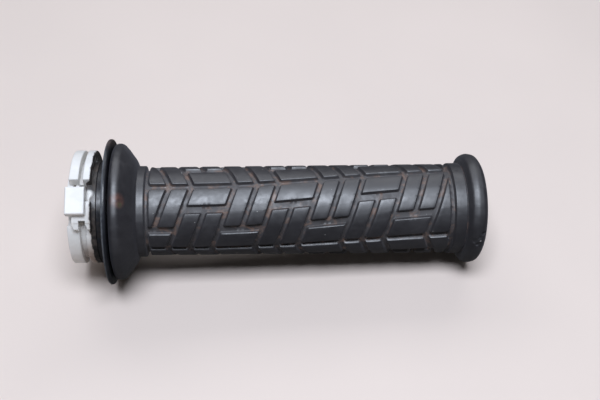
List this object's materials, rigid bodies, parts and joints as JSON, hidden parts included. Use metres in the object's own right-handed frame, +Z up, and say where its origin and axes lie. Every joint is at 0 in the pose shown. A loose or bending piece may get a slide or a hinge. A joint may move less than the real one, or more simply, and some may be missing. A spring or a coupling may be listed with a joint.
{
  "type": "motorcycle throttle grip",
  "caption": "Twist throttle grip: patterned rubber grip on a plastic tube, with a flanged bush and a white cable drum at its inboard end.",
  "frame": {"origin": "on the axis of the handlebar bore, at the inboard end face of the tube and drum", "axes": "+X runs along the grip to its outboard end, +Z is up, and the cable block leans 30 degrees from +Z towards -Y"},
  "size_m": [0.1452, 0.052, 0.052],
  "materials": {
    "tube_plastic": "moulded black nylon",
    "drum_plastic": "moulded white acetal, greasy in use",
    "bush_plastic": "moulded blue-black plastic",
    "grip_rubber": "satin black rubber, dusty in the tread's grooves"
  },
  "bodies": {
    "bush": {"flange_bush": "bush_plastic"},
    "grip": {"throttle_tube": "tube_plastic", "cable_drum": "drum_plastic", "grip_rubber": "grip_rubber"}
  },
  "joints": [
    {"name": "throttle_twist", "type": "hinge", "parent": "bush", "child": "grip", "pos_m": [0.0117, 0, 0], "axis": [1, 0, 0], "range_deg": [0, 75]}
  ]
}
